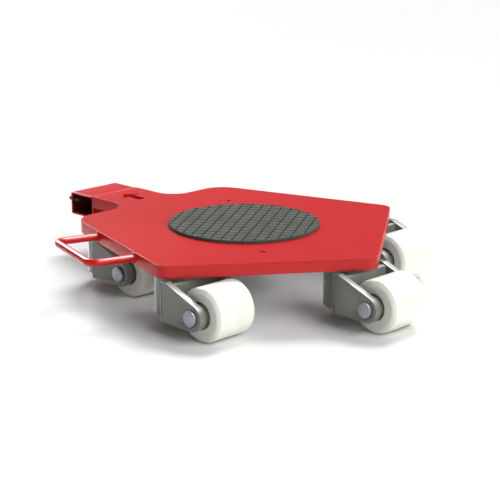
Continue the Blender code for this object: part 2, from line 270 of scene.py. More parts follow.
# %% Ten bearings
plate_low, plate_high = node_box("caster1_fork_plate_left")
plate_in, plate_out = plate_low[1] - pivots[1][1], plate_high[1] - pivots[1][1]
bearing_profile = np.array([
    (12.8, 0), (18.9, 0), (19.4, 0.5), (19.4, 1.6), (18.9, 1.8), (18.9, 2.2), (19.4, 2.4),
    (19.4, 3.8), (18.9, 4.0), (18.9, 4.4), (19.4, 4.6), (19.4, 6.0), (19.0, 6.3), (18.9, 7.4),
    (19.1, 7.4), (20.7, 7.2), (21.0, 7.5), (21.0, 19.0), (20.6, 19.2), (12.8, 19.2)])
bearing_profile = bearing_profile * MM
for n in casters:
    for side, sign in (("left", 1), ("right", -1)):
        heights = sign * (plate_in - 0.3 * MM - bearing_profile[:, 1])
        turned_piece("bearing_%d_%s" % (n, side), np.stack([bearing_profile[:, 0], heights], 1),
                     axles[n], "Y", "caster%d_wheel" % n, "bearing_steel",
                     ["caster%d_bearing_%s" % (n, side)], 64)
print("side plates run from", round(plate_in, 4), "to", round(plate_out, 4), "off the roller's middle")

# %% [markdown]
# ## Axles
# The axle is a plain ground pin that stands a few millimetres proud of each side plate.
# Its ends are faced flat and chamfered.

# %% Five axles
axle_low, axle_high = node_box("caster1_axle")
axle_r, axle_half = (axle_high[2] - axle_low[2]) / 2, (axle_high[1] - axle_low[1]) / 2
pin_end = np.array([(0, axle_half), (2.8 * MM, axle_half),
                    (axle_r - 1.3 * MM, axle_half), (axle_r - 0.9 * MM, axle_half - 0.15 * MM),
                    (axle_r - 0.15 * MM, axle_half - 1.0 * MM), (axle_r, axle_half - 1.5 * MM)])
pin_profile = np.concatenate([pin_end, pin_end[::-1] * [1, -1]])
for n in casters:
    turned_piece("axle_%d" % n, pin_profile, axles[n], "Y", "caster%d_fork" % n, "pin_steel",
                 ["caster%d_axle" % n], 64)
print("axle radius", round(axle_r, 4), "half length", round(axle_half, 4))

# %% [markdown]
# ## Fork side plates
# Each side plate is cut from thick plate: a straight front edge, a sloping top and a
# round nose about the axle hole. As a surface it is a ring, like a tyre: one parameter
# goes round the outline and the other goes round the plate's cross-section, from the
# hole along one face, over the outer edge and back along the other face. The front edge
# is rounded over much more than the rest, so the rounding's size varies with the outline,
# and a narrow groove, left by the press brake, runs down each face just behind it.

# %% One plate's surface, placed ten times
front_s = pivots[1][0] - plate_high[0]
nose_r = axles[1][0] - plate_low[0]
trail = pivots[1][0] - axles[1][0]
axle_z, plate_top = axles[1][2], plate_high[2]
plate_foot, slope_start = 23.5 * MM, 31 * MM


def touch_angle(x, z, upper):
    """Angle on the nose circle where a straight edge from the corner (x, z) touches it."""
    reach = math.hypot(x - trail, z - axle_z)
    base, lean = math.atan2(z - axle_z, x - trail), math.acos(nose_r / reach)
    return base - lean if upper else base + lean


def plate_outline():
    """The outline as (distance behind the kingpin, height), with the nose as a true arc."""
    low = touch_angle(front_s, plate_foot, False) % math.tau - math.tau
    high = touch_angle(slope_start, plate_top, True) % math.tau
    t = np.linspace(low, high, 49)
    nose = np.stack([trail + nose_r * np.cos(t), axle_z + nose_r * np.sin(t)], 1)
    z = np.linspace(plate_foot, plate_top, 14)[1:-1]
    front = rounded_line([(40 * MM, plate_top), (front_s, plate_top, 1.6 * MM),
                          (front_s, plate_foot, 1.6 * MM), (50 * MM, 23.2 * MM)], 6)[1:-1]
    upper, lower = front[:7], front[7:]
    edge = np.stack([np.full(12, front_s), z[::-1]], 1)
    slope = rounded_line([tuple(nose[-1]), (slope_start, plate_top, 5 * MM), (front_s, plate_top)], 6)
    return np.concatenate([nose, slope[1:-1], upper, edge, lower])


def plate_surface(hole_r, thick, edge=0.9 * MM, front_edge=4.6 * MM):
    """Rows run round the section and columns round the outline. The section is inset
    along the line to the axle by edge * (1 - sin a) while the face falls away by
    edge * (1 - cos a), which is a quarter round for a from 0 to 90 degrees."""
    rim = plate_outline()
    hub = np.array([trail, axle_z])
    out = rim - hub
    reach = np.linalg.norm(out, axis=1)
    out = out / reach[:, None]
    bull = np.clip(1 - (rim[:, 0] - front_s) / (1.4 * MM), 0, 1)
    inset = edge + (front_edge - edge) * bull
    a = np.linspace(0, math.pi / 2, 7)[:, None]
    half = thick / 2
    dip = np.array([0, 0, 0.7, 1, 1, 0.7, 0.1])[:, None] * 1.5 * MM * bull
    behind = np.array([3.0, 1.9, 1.75, 1.5, 0.6, 0.35, 0.2])[:, None] * MM
    rounds_r = np.concatenate([reach - inset - behind, reach - inset * (1 - np.sin(a))])
    rounds_z = np.concatenate([half - dip, half - inset * (1 - np.cos(a))])
    hole = np.array([(hole_r, half - 0.7 * MM), (hole_r + 0.7 * MM, half)])
    radius = np.concatenate([hole[:, :1] + 0 * reach, rounds_r, rounds_r[::-1], hole[::-1, :1] + 0 * reach])
    height = np.concatenate([hole[:, 1:] + 0 * reach, rounds_z, -rounds_z[::-1], -hole[::-1, 1:] + 0 * reach])
    s = hub[0] + radius * out[:, 0]
    z = hub[1] + radius * out[:, 1]
    return s, height, z


axle_hole = 12.8 * MM
plate_s, plate_y, plate_z = plate_surface(axle_hole, plate_out - plate_in)
plate_rows, plate_columns = plate_s.shape
for n in casters:
    for side, sign in (("left", 1), ("right", -1)):
        table = np.stack([pivots[n][0] - plate_s,
                          pivots[n][1] + sign * (plate_in + plate_out) / 2 + plate_y, plate_z], -1)
        make_piece("fork_plate_%d_%s" % (n, side), table,
                   [grid_faces(plate_rows, plate_columns, True, True)],
                   "caster%d_fork" % n, "fork_steel",
                   ["caster%d_fork_plate_%s" % (n, side)], 50)
print("plate outline of", plate_columns, "points, section of", plate_rows)

# %% [markdown]
# ## Swivel hubs and webs
# The hub is a bored steel barrel that turns on the kingpin. A web, a short block hollowed
# to fit against the barrel, ties it to both side plates. The barrel is turned; the web is
# a rounded rectangle carried sideways while its front follows the barrel's curve.

# %% Five hubs
hub_low, hub_high = node_box("caster1_fork_hub")
hub_r = hub_high[0] - pivots[1][0]
race_low, race_high = node_box("caster1_thrust_bearing")
race_r = (race_high[0] - race_low[0]) / 2 + 0.3 * MM
nut_low, nut_high = node_box("caster1_kingpin_nut")
king_r, play, recess_r = 12 * MM, 0.3 * MM, 22 * MM
hub_bore, recess_top, race_seat = king_r + 0.5 * MM, nut_high[2] + play, race_low[2] - play
hub_profile = rounded_line([
    (race_r, hub_high[2]), (hub_r, hub_high[2], 1.4 * MM), (hub_r, hub_low[2], 2.0 * MM),
    (recess_r, hub_low[2], 0.8 * MM), (recess_r, recess_top), (hub_bore, recess_top),
    (hub_bore, race_seat), (race_r, race_seat)], 5, True)
for n in casters:
    turned_piece("swivel_hub_%d" % n, hub_profile, pivots[n] * [1, 1, 0], "Z", "caster%d_fork" % n,
                 "fork_steel", ["caster%d_fork_hub" % n], 96)
print("hub radius", round(hub_r, 4), "from", round(hub_low[2], 4), "to", round(hub_high[2], 4))


# %% A profile carried along a path of stations, closed at both ends
def lofted(stations):
    """Rows are stations and columns go round each section; the two open ends are closed
    by fans of triangles to the middle of their section."""
    rows, columns, _ = stations.shape
    points = stations.reshape(-1, 3)
    ends = np.stack([stations[0].mean(0), stations[-1].mean(0)])
    j = np.arange(columns)
    nxt, last = (j + 1) % columns, (rows - 1) * columns
    faces = [grid_faces(rows, columns, False, True),
             np.stack([nxt, j, np.full(columns, len(points))], 1),
             np.stack([last + j, last + nxt, np.full(columns, len(points) + 1)], 1)]
    return np.concatenate([points, ends]), faces


web_half = plate_in - 0.3 * MM
web_front, web_rear = 24 * MM, pivots[1][0] - hub_low[0]
web_low, web_tall, barrel_r = 24 * MM, 59 * MM, 33 * MM
web_y = np.linspace(1 * MM - web_half, web_half - 1 * MM, 61)
web_y = np.concatenate([[-web_half, 0.3 * MM - web_half], web_y, [web_half - 0.3 * MM, web_half]])
shrink = np.where(np.abs(web_y) > web_half - 0.1 * MM, 0.8 * MM,
                  np.where(np.abs(web_y) > web_half - 0.5 * MM, 0.25 * MM, 0))
front = np.maximum(np.sqrt(np.clip(barrel_r ** 2 - web_y ** 2, 0, None)), web_front)
corner = rounded_line([(0, 0, 0.1), (1, 0, 0.1), (1, 1, 0.1), (0, 1, 0.1)], 4, True)
web_s = (front + shrink)[:, None] + (web_rear - front - 2 * shrink)[:, None] * corner[:, 0]
web_z = (web_low + shrink)[:, None] + (web_tall - 2 * shrink)[:, None] * corner[:, 1]
for n in casters:
    table = np.stack([pivots[n][0] - web_s, pivots[n][1] + web_y[:, None] + 0 * web_s, web_z], -1)
    points, faces = lofted(table)
    make_piece("fork_web_%d" % n, points, faces, "caster%d_fork" % n, "fork_steel")
print("web from", web_front, "to", round(web_rear, 4), "behind the kingpin")

# %% [markdown]
# ## Weld beads
# A fillet weld is a small round bead with fine cross ripples, one for each time the
# welder paused. It is a tube whose radius rises and falls slightly along its path.

# %% Beads along straight corners
def bead_stations(start, end, radius, ripple=1.7 * MM, sides=14):
    """Circles round points from start to end. Their radius is radius * (1 + 0.07 *
    sin(distance / ripple)) and shrinks like a half circle over the last radius."""
    start, end = np.array(start, float), np.array(end, float)
    length = np.linalg.norm(end - start)
    way = (end - start) / length
    aside = np.cross(way, [0.3, 0.5, 0.81])
    aside /= np.linalg.norm(aside)
    other = np.cross(way, aside)
    d = np.linspace(0, length, max(12, int(length / (0.45 * MM))))[:, None]
    tip = np.clip(np.minimum(d, length - d) / radius, 0.02, 1)
    size = radius * (1 + 0.07 * np.sin(d / ripple * math.tau)) * np.sqrt(1 - (1 - tip) ** 2)
    turn = np.arange(sides) / sides * math.tau
    ring = np.cos(turn)[:, None] * aside + np.sin(turn)[:, None] * other
    return (start + d * way)[:, None, :] + size[:, :, None] * ring[None]


for n in casters:
    for side, sign in (("left", 1), ("right", -1)):
        x, y = pivots[n][0] - 24.4 * MM, pivots[n][1] + sign * (plate_in - 0.6 * MM)
        points, faces = lofted(bead_stations((x, y, 27 * MM), (x, y, 81 * MM), 2.8 * MM))
        make_piece("fork_weld_%d_%s" % (n, side), points, faces,
                   "caster%d_fork" % n, "fork_steel", crease=80)
print("weld beads on the forks:", 2 * len(casters))

# %% [markdown]
# ## Kingpins, thrust bearings and their nuts
# These are mostly hidden. Under the deck each kingpin ends in a welded flange; below it
# a ring-shaped thrust bearing carries the load into the hub, and a hexagon nut in the
# hub's lower recess keeps the caster on.

# %% Turned kingpins and thrust rings, and hexagon nuts
king_low, king_high = node_box("caster1_kingpin")
flange_r = (king_high[0] - king_low[0]) / 2
flange_under = hub_high[2] + play
king_profile = rounded_line([
    (0, king_high[2]), (flange_r, king_high[2], 0.3 * MM), (flange_r, flange_under, 0.8 * MM),
    (king_r, flange_under), (king_r, king_low[2], 1.0 * MM), (0, king_low[2])], 4)
race_in, race_out = king_r + play, race_r - play
race_profile = rounded_line([
    (race_in, race_high[2], 0.5 * MM), (race_out, race_high[2], 1.0 * MM),
    (race_out, race_low[2], 0.8 * MM), (race_in, race_low[2], 0.5 * MM)], 4, True)
nut_mid = (nut_low[2] + nut_high[2]) / 2
across = (nut_high[1] - nut_low[1]) / 2
turn = np.arange(72) / 72 * math.tau
hexagon = across / np.cos((turn % (math.tau / 6)) - math.pi / 6)
nut_h = (nut_high[2] - nut_low[2]) / 2
cone = np.minimum(hexagon, across * 1.06)
nut_bore, countersink = 0 * turn + king_r + 0.6 * MM, 0 * turn + king_r + 1.4 * MM
nut_r = np.stack([nut_bore, countersink, cone, hexagon, hexagon, cone, countersink, nut_bore])
nut_z = np.array([1, 1.06, 1.06, 0.8, -0.8, -1.06, -1.06, -1]) * nut_h / 1.06
for n in casters:
    foot = pivots[n] * [1, 1, 0]
    turned_piece("kingpin_%d" % n, king_profile, foot, "Z", "deck", "pin_steel",
                 ["caster%d_kingpin" % n], 64)
    turned_piece("thrust_ring_%d" % n, race_profile, foot, "Z", "deck", "bearing_steel",
                 ["caster%d_thrust_bearing" % n], 64)
    table = np.stack([nut_r * np.cos(turn), nut_r * np.sin(turn), nut_z[:, None] + nut_mid + 0 * nut_r], -1)
    make_piece("kingpin_nut_%d" % n, table + foot, [grid_faces(8, 72, True, True)],
               "deck", "pin_steel", ["caster%d_kingpin_nut" % n], 30)
print("kingpin flange radius", round(flange_r, 4), "nut across flats", round(2 * across, 4))

# %% [markdown]
# ## Deck plate
# The deck is flame-cut from one thick plate: a regular pentagon with rounded corners and
# a tongue that leaves one of its sides in two hollow curves. An arrow and two small
# holes are cut through it. Every cut edge is broken with a file before painting, so each
# loop, inside or outside, becomes a ring of points that goes down the cut face with a
# small round at both ends. The two flat faces between the rings are filled in at the end.

# %% The deck's loops
side_at, tongue_end = 232 * MM, 328 * MM
tongue_low, tongue_high = -56 * MM, 49 * MM
tongue_mid = (tongue_low + tongue_high) / 2
corner_at = side_at / math.cos(math.radians(36))
corner_turns = [math.radians(72 * k + 36) for k in range(5)]
pentagon = [(corner_at * math.cos(turn), corner_at * math.sin(turn), 46 * MM if k in (0, 4) else 24 * MM)
            for k, turn in enumerate(corner_turns)]
deck_outline = rounded_line([(tongue_end, tongue_low, 0.6 * MM), (tongue_end, tongue_high, 0.6 * MM),
                             (side_at, tongue_high, 38 * MM)] + pentagon
                            + [(side_at, tongue_low, 38 * MM)], 16, True)
arrow = rounded_line([(x * MM, y * MM + tongue_mid, 0.5 * MM) for x, y in (
    (304, 0), (282, 21), (282, 8), (254, 8), (254, -8), (282, -8), (282, -21))], 3, True)
circle = np.arange(40) / 40 * math.tau
drain_at = 171.5 * MM * np.array([math.cos(math.radians(36)), -math.sin(math.radians(36))])
drain = 5 * MM * np.stack([np.cos(circle), np.sin(circle)], 1)
print("deck outline of", len(deck_outline), "points")


# %% [markdown]
# A plate with holes has a top and a bottom that are single flat faces with holes in
# them. Blender's triangulator fills such a face when it is given the outer loop and the
# holes together. A narrow flat margin is kept between the rounded edge and the fill, so
# that the smooth shading of the edge never spreads over the flat.

# %% Plates cut from an outline
from mathutils import Vector
from mathutils.geometry import tessellate_polygon


def cut_plate(loops, low, high, edge=0.25 * MM, steps=3):
    """Each loop becomes a table whose rows go from the bottom margin over the lower
    round, up the wall and over the upper round. A point is the outline's point moved
    inwards by edge * (1 - sin a), at the height low + edge * (1 - cos a)."""
    a = np.linspace(0, math.pi / 2, steps + 1)
    inset = np.concatenate([[edge * 1.7], edge * (1 - np.sin(a))])
    rise = np.concatenate([[0], edge * (1 - np.cos(a))])
    inset, height = np.concatenate([inset, inset[::-1]]), np.concatenate([low + rise, high - rise[::-1]])
    points, faces, caps, start = [], [], ([], []), 0
    for k, loop in enumerate(loops):
        before, after = np.roll(loop, 1, 0) - loop, np.roll(loop, -1, 0) - loop
        before /= np.linalg.norm(before, axis=1)[:, None]
        after /= np.linalg.norm(after, axis=1)[:, None]
        area = np.sum(loop[:, 0] * np.roll(loop[:, 1], -1) - loop[:, 1] * np.roll(loop[:, 0], -1))
        left = np.stack([-after[:, 1] + before[:, 1], after[:, 0] - before[:, 0]], 1)
        left /= np.linalg.norm(left, axis=1)[:, None]
        miter = np.clip(np.abs(left[:, 0] * after[:, 1] - left[:, 1] * after[:, 0]), 0.5, 1)[:, None]
        inward = left * (1 if (area > 0) == (k == 0) else -1) / miter
        flat = loop + inset[:, None, None] * inward
        rows, columns = flat.shape[:2]
        z = height[:, None] + 0 * flat[..., 0]
        points.append(np.concatenate([flat, z[..., None]], -1).reshape(-1, 3))
        quads = grid_faces(rows, columns, False, True) + start
        faces.append(quads if (area > 0) == (k == 0) else quads[:, ::-1])
        caps[0].append(start + np.arange(columns))
        caps[1].append(start + (rows - 1) * columns + np.arange(columns))
        start += rows * columns
    points = np.concatenate(points)
    for side, rings in enumerate(caps):
        order = np.concatenate(rings)
        fill = tessellate_polygon([[Vector((*points[i, :2], 0)) for i in ring] for ring in rings])
        fill = order[np.array(fill)]
        p = points[fill]
        up = np.cross(p[:, 1, :2] - p[:, 0, :2], p[:, 2, :2] - p[:, 0, :2]) > 0
        fill[up != (side == 1)] = fill[up != (side == 1)][:, ::-1]
        faces.append(fill)
    return points, faces


points, faces = cut_plate([deck_outline, arrow, drain + drain_at, drain - drain_at], deck_under, deck_top)
points[:, :2] += pad_centre[:2]
make_piece("deck", points, faces, "deck", "red_paint", ["deck_plate"], 40)
print("deck of", len(points), "points")

# %% [markdown]
# ## Coupling tube
# A short piece of rectangular tube stands across the end of the tongue and takes the
# connecting bar. Its section is a rounded rectangle outside and a tighter one inside;
# carried along the tube and joined at both ends it closes on itself like a tyre.

# %% Rectangular tube
tube_low, tube_high = node_box("coupling_tube")
tube_mid, tube_half = (tube_low + tube_high) / 2, (tube_high - tube_low) / 2
wall, end_edge = 4 * MM, 0.7 * MM


def box_ring(half_x, half_z, radius):
    """A rectangle of x and z with all four corners rounded alike."""
    return rounded_line([(-half_x, -half_z, radius), (half_x, -half_z, radius),
                         (half_x, half_z, radius), (-half_x, half_z, radius)], 6, True)


def tube_table(inset, along):
    """The outside section made smaller by inset, at one place along the tube."""
    outside = box_ring(tube_half[0] - inset, tube_half[2] - inset, 3.2 * MM - inset)
    return np.insert(outside, 1, along, axis=1)


bore_x, bore_z, mouth = tube_half[0] - wall, tube_half[2] - wall, 0.5 * MM
inside = np.insert(box_ring(bore_x, bore_z, 1.2 * MM), 1, 0, axis=1)
flare = np.insert(box_ring(bore_x + mouth, bore_z + mouth, 1.4 * MM), 1, 0, axis=1)
reach_y = tube_half[1]
half_rows = [tube_table(0, reach_y - 4 * MM), tube_table(0, reach_y - end_edge),
             tube_table(0.2 * MM, reach_y - 0.2 * MM), tube_table(end_edge, reach_y),
             flare + [0, reach_y, 0], inside + [0, reach_y - mouth, 0], inside + [0, reach_y - 4 * MM, 0]]
rows = half_rows + [r * [1, -1, 1] for r in half_rows[::-1]]
points = np.stack(rows) + tube_mid
# Points inside the bore: the mask of the painted shade that darkens the tube's inside.
bore_shade_mask = np.abs(points - tube_mid)
bore_shade_mask = (bore_shade_mask[..., 0] < bore_x + mouth + 0.1 * MM) & (bore_shade_mask[..., 2] < bore_z + mouth + 0.1 * MM)
make_piece("tube", points, [grid_faces(len(rows), len(inside), True, True)], "deck",
           "red_paint", ["coupling_tube"], 40, {"inside": bore_shade_mask.astype(float)})
print("tube", np.round(2 * tube_half, 4), "m with walls", wall)

# %% [markdown]
# ## Carrying handle
# One round bar, bent to a flat bow and welded by its ends to the deck's edge. A circle
# is carried along the bow's centreline; the bends are true arcs, as a bar bender makes.

# %% A round bar bent along a flat path
handle_low, handle_high = node_box("carry_handle")
bar_r = (handle_high[2] - handle_low[2]) / 2
bar_z = (handle_high[2] + handle_low[2]) / 2
facing = math.radians(72)
deck_flat, bow_half, bow_reach, bow_bend = 232.3 * MM, 72.5 * MM, 305 * MM, 16 * MM


def on_deck(points, turn=0.0):
    """Points about the pad's centre, turned about the vertical and moved into place."""
    x, y, z = np.moveaxis(np.asarray(points, float), -1, 0)
    c, s = math.cos(turn), math.sin(turn)
    return np.stack([x * c - y * s + pad_centre[0], x * s + y * c + pad_centre[1], z], -1)


def bent_bar(path, radius, height, sides=32):
    """Each circle lies across the path: a point is path + radius * (cos b * sideways,
    sin b * upwards), where sideways is the path's direction turned by a right angle."""
    way = np.gradient(path, axis=0)
    way /= np.linalg.norm(way, axis=1)[:, None]
    b = np.arange(sides) / sides * math.tau
    x = path[:, :1] - radius * np.cos(b) * way[:, 1:]
    y = path[:, 1:] + radius * np.cos(b) * way[:, :1]
    return np.stack([x, y, height + radius * np.sin(b) + 0 * x], -1)


bow = rounded_line([(deck_flat, -bow_half), (bow_reach, -bow_half, bow_bend),
                    (bow_reach, bow_half, bow_bend), (deck_flat, bow_half)], 14)
straights = [np.linspace(bow[k], bow[k + 1], 12)[1:-1] for k in (0, 15, -2)]
bow = np.concatenate([bow[:1], straights[0], bow[1:16], straights[1], bow[16:-1], straights[2], bow[-1:]])
points, faces = lofted(on_deck(bent_bar(bow, bar_r, bar_z), facing))
make_piece("handle", points, faces, "deck", "red_paint", ["carry_handle"])
print("bar radius", round(bar_r, 4), "path of", len(bow), "points")

# %% [markdown]
# ## Weld beads on the deck
# The bar ends and the coupling tube are welded on. Round a bar the bead is a small ring;
# along the tongue it is two straight beads, one above and one below the plate.

# %% Ring beads and straight beads
def ring_bead(radius, size, ripples, steps=96, sides=14):
    """A ring of circles: the small radius is size * (1 + 0.08 * sin(ripples * turn))."""
    a = np.arange(steps)[:, None] / steps * math.tau
    b = np.arange(sides)[None, :] / sides * math.tau
    small = size * (1 + 0.08 * np.sin(ripples * a))
    out = radius + small * np.cos(b)
    return np.stack([small * np.sin(b) + 0 * a, out * np.cos(a), out * np.sin(a)], -1)


for side, sign in (("front", -1), ("rear", 1)):
    ring = ring_bead(bar_r + 0.3 * MM, 2.0 * MM, 26)
    ring = ring + [deck_flat + 0.1 * MM, sign * bow_half, bar_z]
    make_piece("handle_weld_" + side, on_deck(ring, facing),
               [grid_faces(96, 14, True, True)], "deck", "red_paint", crease=80)
seam_x = tube_low[0] - 0.1 * MM
for name, height, size, low, high in (
        ("top", deck_top - 0.2 * MM, 0.7 * MM, pad_centre[1] + tongue_low, pad_centre[1] + tongue_high),
        ("under", deck_under - 0.6 * MM, 3.4 * MM, tube_low[1] + 1 * MM, tube_high[1] - 1 * MM)):
    low, high = low + 2 * MM, high - 2 * MM
    points, faces = lofted(bead_stations((seam_x, low, height), (seam_x, high, height), size))
    make_piece("tongue_weld_" + name, points, faces, "deck", "red_paint", crease=80)
print("handle and tongue beads made")

# %% [markdown]
# ## Clamp screws
# A socket set screw has a helical thread, a chamfered end outside with a hexagonal
# recess for the key, and a blunt point inside. The thread's radius depends on the turn
# and on the depth together, which is all that a helix is.

# %% Two threaded set screws
screw_low, screw_high = node_box("clamp_screw_left")
screw_r, screw_out_x, screw_in_x = (screw_high[1] - screw_low[1]) / 2, screw_high[0], screw_low[0]
pitch = 1.25 * MM


def set_screw(radius, length, sides=36):
    """Depth d runs from the outer end inwards. The thread's radius is radius minus
    0.6 mm times a rounded triangle wave of (d / pitch - turn / full turn)."""
    a = np.arange(sides) / sides * math.tau
    d = np.arange(1.0 * MM, length - 1.4 * MM, pitch / 8)[:, None]
    wave = np.abs(((d / pitch - a / math.tau) % 1) * 2 - 1)
    body = radius - 0.6 * MM * np.clip(wave * 1.5 - 0.35, 0, 1)
    fade = np.clip(np.minimum(d - 1.0 * MM, length - 1.4 * MM - d) / (0.8 * MM), 0, 1)
    body = (radius - 0.25 * MM) + (body - radius + 0.25 * MM) * fade
    hexa = 2.0 * MM / np.cos((a % (math.tau / 6)) - math.pi / 6)
    flat = 0 * a
    r = np.concatenate([[hexa * 0.98, hexa, hexa + 0.25 * MM, flat + radius - 0.9 * MM,
                         flat + radius - 0.55 * MM], body,
                        [flat + radius - 0.6 * MM, flat + radius - 1.4 * MM, flat + radius - 1.6 * MM]])
    z = np.concatenate([[4.0 * MM, 0.25 * MM, 0, 0, 0.25 * MM], d[:, 0],
                        [length - 1.0 * MM, length - 0.1 * MM, length]])[:, None] + flat
    return np.stack([-z, r * np.cos(a), r * np.sin(a)], -1)


for side in ("left", "right"):
    low, high = node_box("clamp_screw_" + side)
    points, faces = lofted(set_screw(screw_r, screw_out_x - screw_in_x))
    middle = [high[0], (low[1] + high[1]) / 2, (low[2] + high[2]) / 2]
    make_piece("set_screw_" + side, points + middle, faces, "clamp_screw_" + side,
               "pin_steel", ["clamp_screw_" + side], 34)
print("screw radius", round(screw_r, 4), "length", round(screw_out_x - screw_in_x, 4))

# %% [markdown]
# ## Load pad
# The round pad is a moulded rubber sheet. Its top is cut into square tiles by two sets
# of grooves, and each tile carries fine ribs along one of the two directions. The base
# is a turned disc up to the bottom of the grooves. Each tile is a small cushion-shaped
# block, and those at the rim are cut off by the pad's circle.

# %% Base disc and tiles
pad_top, groove = pad_high[2], 1.3 * MM
rim = pad_radius - 0.25 * MM
base_profile = rounded_line([(0, pad_top - groove), (rim - 1.6 * MM, pad_top - groove, 0),
                             (rim - 1.6 * MM, pad_top - 0.35 * MM, 0), (rim, pad_top - 0.35 * MM, 0.5 * MM),
                             (rim, pad_low[2], 0.4 * MM), (0, pad_low[2])], 4)
turned_piece("pad_base", base_profile, pad_centre * [1, 1, 0], "Z", "deck", "pad_rubber",
             ["load_pad"], 160, 30)
lattice, lattice_turn = 17.4 * MM, math.radians(31.6)
lattice_at = (-6.6 * MM, 5.0 * MM)
tile_limit = rim - 1.7 * MM


def tile(x0, x1, y0, y1):
    """A table over the tile, cut to |x|, |y| <= sqrt(limit^2 - other^2). The height is
    the top, less a round shoulder at the tile's edges, less two fine ribs' grooves; the
    outermost ring of points drops to the base, where one flat face closes the tile."""
    near_y = 0 if y0 < 0 < y1 else min(abs(y0), abs(y1))
    if near_y >= tile_limit:
        return None
    reach = math.sqrt(tile_limit ** 2 - near_y ** 2)
    x0, x1 = max(x0, -reach), min(x1, reach)
    if x1 - x0 < 1.4 * MM:
        return None
    steps_x = np.array([0, 0, 0.03, 0.09, 0.3, 0.5, 0.7, 0.91, 0.97, 1, 1])
    steps_y = np.array([0, 0, 0.03, 0.09, 0.2, 0.28, 0.31, 0.34, 0.37, 0.4, 0.5,
                        0.6, 0.63, 0.66, 0.69, 0.72, 0.8, 0.91, 0.97, 1, 1])
    x = (x0 + (x1 - x0) * steps_x)[None, :]
    cut = np.sqrt(np.clip(tile_limit ** 2 - x ** 2, 0, None))
    low, high = np.clip(y0, -cut, cut), np.clip(y1, -cut, cut)
    y = low + (high - low) * steps_y[:, None]
    if (high - low).max() < 1.4 * MM:
        return None
    shoulder = np.minimum(np.minimum(steps_x, 1 - steps_x)[None, :],
                          np.minimum(steps_y, 1 - steps_y)[:, None])
    rib = np.minimum(np.abs(steps_y - 0.34), np.abs(steps_y - 0.66))[:, None]
    drop = 0.4 * MM * np.clip(1 - shoulder / 0.09, 0, 1) ** 2 + 0.26 * MM * np.clip(1 - rib / 0.045, 0, 1)
    z = pad_top - drop
    edge = np.zeros((len(steps_y), len(steps_x)), bool)
    edge[0], edge[-1], edge[:, 0], edge[:, -1] = True, True, True, True
    z = np.where(edge, pad_top - groove - 0.2 * MM, z)
    return np.stack([x + 0 * y, y, z], -1)


all_points, all_quads, rims, count = [], [], [], 0
slot_x, slot_y = 1.0 * MM, 1.15 * MM
span = int(pad_radius / lattice) + 2
for i in range(-span, span):
    for j in range(-span, span):
        table = tile(lattice_at[0] + i * lattice + slot_x, lattice_at[0] + (i + 1) * lattice - slot_x,
                     lattice_at[1] + j * lattice + slot_y, lattice_at[1] + (j + 1) * lattice - slot_y)
        if table is None:
            continue
        rows, columns, _ = table.shape
        start = count * rows * columns
        all_points.append(on_deck(table, lattice_turn).reshape(-1, 3))
        all_quads.append(grid_faces(rows, columns) + start)
        index = np.arange(rows * columns).reshape(rows, columns) + start
        loop = np.concatenate([index[0, :-1], index[:-1, -1], index[-1, :0:-1], index[:0:-1, 0]])
        rims.append(loop[::-1])
        count += 1
make_piece("pad_tiles", np.concatenate(all_points), [np.concatenate(all_quads), np.array(rims)],
           "deck", "pad_rubber", crease=40)
print(count, "tiles of", round(lattice - 2 * slot_x, 4), "on a", round(lattice, 4), "pitch")

# %% [markdown]
# ## Writing finishes as formulas
# A finish is a network of nodes, but most of it is arithmetic. The small class below
# wraps a socket so that a sum or a product in Python adds the matching Math node. Other
# nodes come from one method that sets a node's options and fills its sockets.

# %% Shader maths on sockets
class Value:
    """A node socket that can be added, subtracted and multiplied in Python."""

    def __init__(self, finish, socket):
        self.finish, self.socket = finish, socket

    def maths(self, operation, other, swap=False, clamp=False):
        pair = [other, self] if swap else [self, other]
        return self.finish.node("ShaderNodeMath", {"operation": operation, "use_clamp": clamp},
                                dict(enumerate(pair)))

    def __add__(self, other): return self.maths("ADD", other)
    def __radd__(self, other): return self.maths("ADD", other, True)
    def __sub__(self, other): return self.maths("SUBTRACT", other)
    def __rsub__(self, other): return self.maths("SUBTRACT", other, True)
    def __mul__(self, other): return self.maths("MULTIPLY", other)
    def __rmul__(self, other): return self.maths("MULTIPLY", other, True)

    def clamp(self): return self.maths("ADD", 0.0, clamp=True)


